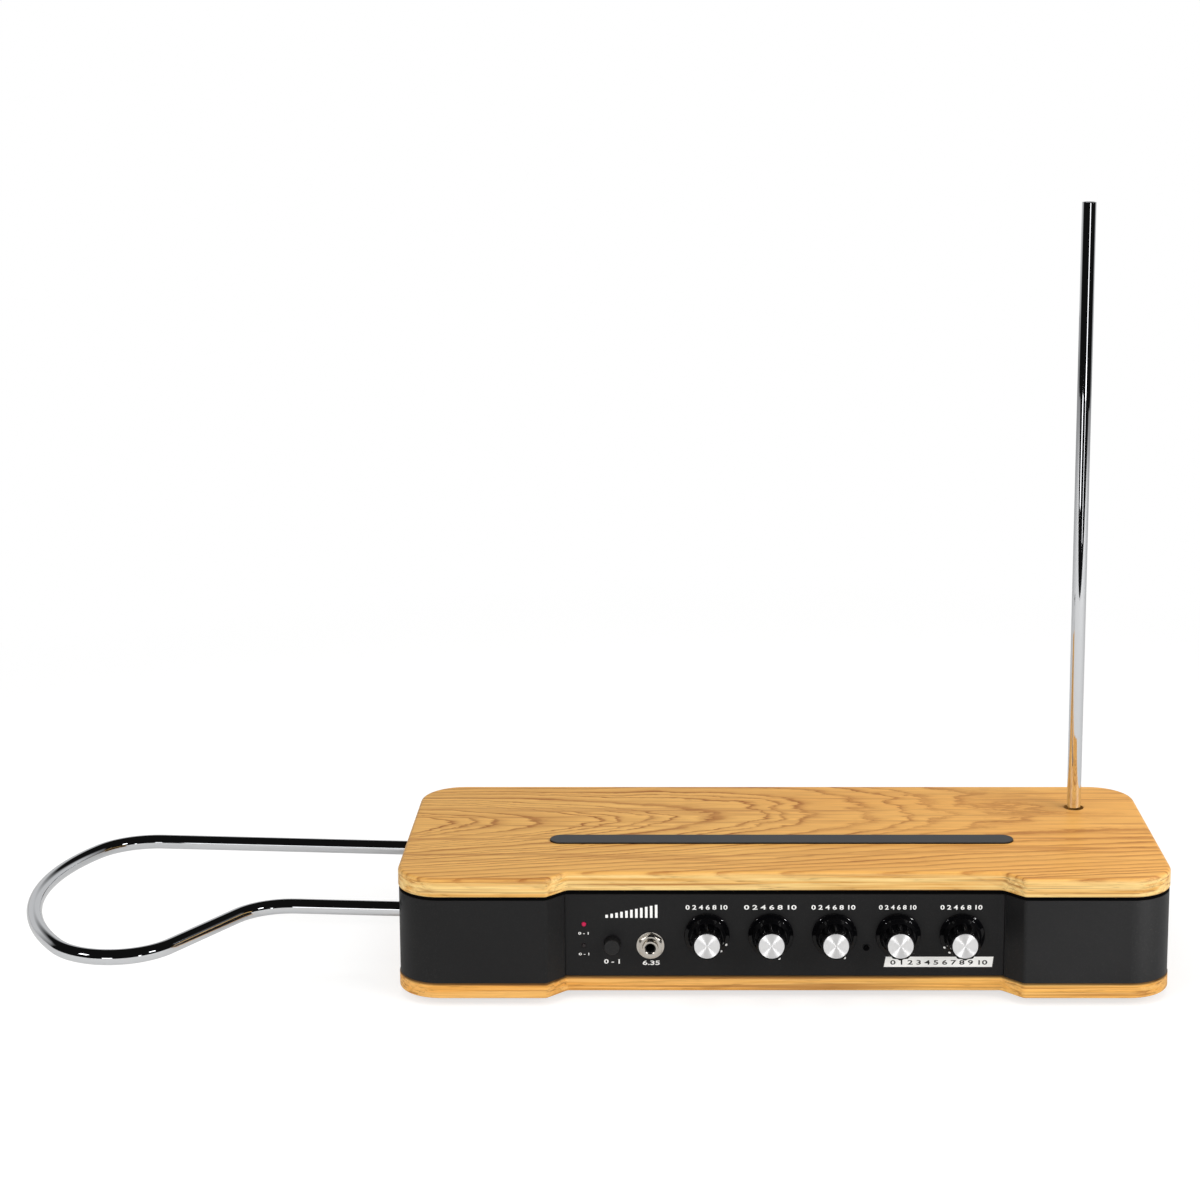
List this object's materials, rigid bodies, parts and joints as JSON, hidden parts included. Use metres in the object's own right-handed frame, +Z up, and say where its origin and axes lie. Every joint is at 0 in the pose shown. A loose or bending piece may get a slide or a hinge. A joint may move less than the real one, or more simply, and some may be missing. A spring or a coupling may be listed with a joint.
{
  "type": "theremin",
  "caption": "Table-top theremin: low wood-topped box with a recessed front panel of knobs, a straight upright pitch antenna and a bent tube volume antenna at the side.",
  "frame": {"origin": "mouth of the microphone-stand thread, at the middle of the underside of the bottom plate", "axes": "+X to the player's right, -Y towards the player (front panel), +Z up"},
  "size_m": [0.736, 0.2582, 0.4995],
  "materials": {
    "oak": "satin oiled oak",
    "inlay_black": "matte",
    "black_metal": "satin black",
    "panel_black": "satin black with white print",
    "gasket_black": "matte",
    "knob_black": "gloss",
    "spun_aluminium": "spun",
    "chrome_tube": "polished",
    "nickel": "polished nickel",
    "zinc_steel": "zinc plated",
    "pot_steel": "tinned",
    "brass": "machined",
    "black_iron": "powder coated",
    "black_screw": "black oxide",
    "button_black": "matte",
    "component_black": "matte",
    "led_red": "lit",
    "led_dark": "gloss",
    "circuit_board": "solder mask",
    "coil_copper": "enamelled winding",
    "ribbon_grey": "matte",
    "lead_red": "matte",
    "foot_rubber": "matte"
  },
  "bodies": {
    "cabinet": {"top_plate": "oak", "bottom_plate": "oak", "top_inlay_strip": "inlay_black", "left_end_wall": "black_metal", "right_end_wall": "black_metal", "front_panel": "panel_black", "rear_panel": "panel_black", "reveal_gasket": "gasket_black", "panel_stud_nuts": "zinc_steel", "cabinet_posts": "brass", "cabinet_screws": "zinc_steel", "rubber_feet": "foot_rubber", "base_screws": "zinc_steel", "stand_flange": "black_iron", "potentiometers": "pot_steel", "potentiometer_washers": "zinc_steel", "potentiometer_nuts": "zinc_steel", "mute_switch": "component_black", "power_led": "led_red", "mute_led": "led_dark", "panel_screw": "black_screw", "phones_jack": "nickel", "phones_jack_washer": "nickel", "phones_jack_nut": "nickel", "output_jacks": "nickel", "output_jack_nuts": "nickel", "cv_jacks": "nickel", "dc_inlet": "component_black", "power_switch": "component_black", "pitch_antenna_socket": "brass", "pitch_socket_screws": "zinc_steel", "volume_antenna_sockets": "brass", "volume_antenna_bracket": "zinc_steel", "main_board": "circuit_board", "control_board": "circuit_board", "board_standoffs": "brass", "board_screws": "zinc_steel", "oscillator_coils": "coil_copper", "board_components": "component_black", "ribbon_cable": "ribbon_grey", "antenna_leads": "lead_red"},
    "phones_volume_dial": {"phones_volume_knob": "knob_black", "phones_volume_cap": "spun_aluminium", "phones_volume_shaft": "zinc_steel"},
    "volume_range_dial": {"volume_range_knob": "knob_black", "volume_range_cap": "spun_aluminium", "volume_range_shaft": "zinc_steel"},
    "pitch_range_dial": {"pitch_range_knob": "knob_black", "pitch_range_cap": "spun_aluminium", "pitch_range_shaft": "zinc_steel"},
    "waveform_dial": {"waveform_knob": "knob_black", "waveform_cap": "spun_aluminium", "waveform_shaft": "zinc_steel"},
    "brightness_dial": {"brightness_knob": "knob_black", "brightness_cap": "spun_aluminium", "brightness_shaft": "zinc_steel"},
    "mute_button": {"mute_button": "button_black"},
    "power_rocker": {"power_rocker": "button_black"},
    "pitch_antenna": {"pitch_antenna": "chrome_tube"},
    "volume_antenna": {"volume_antenna": "chrome_tube"}
  },
  "joints": [
    {"name": "phones_volume_turn", "type": "hinge", "parent": "cabinet", "child": "phones_volume_dial", "pos_m": [-0.04958, -0.0823, 0.0378], "axis": [0, 1, 0], "range_deg": [-250, 50]},
    {"name": "volume_range_turn", "type": "hinge", "parent": "cabinet", "child": "volume_range_dial", "pos_m": [-0.00894, -0.0823, 0.0378], "axis": [0, 1, 0], "range_deg": [-300, 0]},
    {"name": "pitch_range_turn", "type": "hinge", "parent": "cabinet", "child": "pitch_range_dial", "pos_m": [0.0317, -0.0823, 0.0378], "axis": [0, 1, 0], "range_deg": [-297, 3]},
    {"name": "waveform_turn", "type": "hinge", "parent": "cabinet", "child": "waveform_dial", "pos_m": [0.07234, -0.0823, 0.0378], "axis": [0, 1, 0], "range_deg": [-300, 0]},
    {"name": "brightness_turn", "type": "hinge", "parent": "cabinet", "child": "brightness_dial", "pos_m": [0.11298, -0.0823, 0.0378], "axis": [0, 1, 0], "range_deg": [-40, 260]},
    {"name": "mute_press", "type": "slide", "parent": "cabinet", "child": "mute_button", "axis": [0, 1, 0], "range_m": [0, 0.002], "stiffness_N_per_m": 500, "springref_m": -0.001},
    {"name": "power_rock", "type": "hinge", "parent": "cabinet", "child": "power_rocker", "pos_m": [0.12, 0.0936, 0.037], "axis": [1, 0, 0], "range_deg": [-20, 0]},
    {"name": "pitch_antenna_lift", "type": "slide", "parent": "cabinet", "child": "pitch_antenna", "axis": [0, 0, 1], "range_m": [0, 0.045]},
    {"name": "volume_antenna_pull", "type": "slide", "parent": "cabinet", "child": "volume_antenna", "axis": [-0.9997, 0, 0.0262], "range_m": [0, 0.04]}
  ]
}
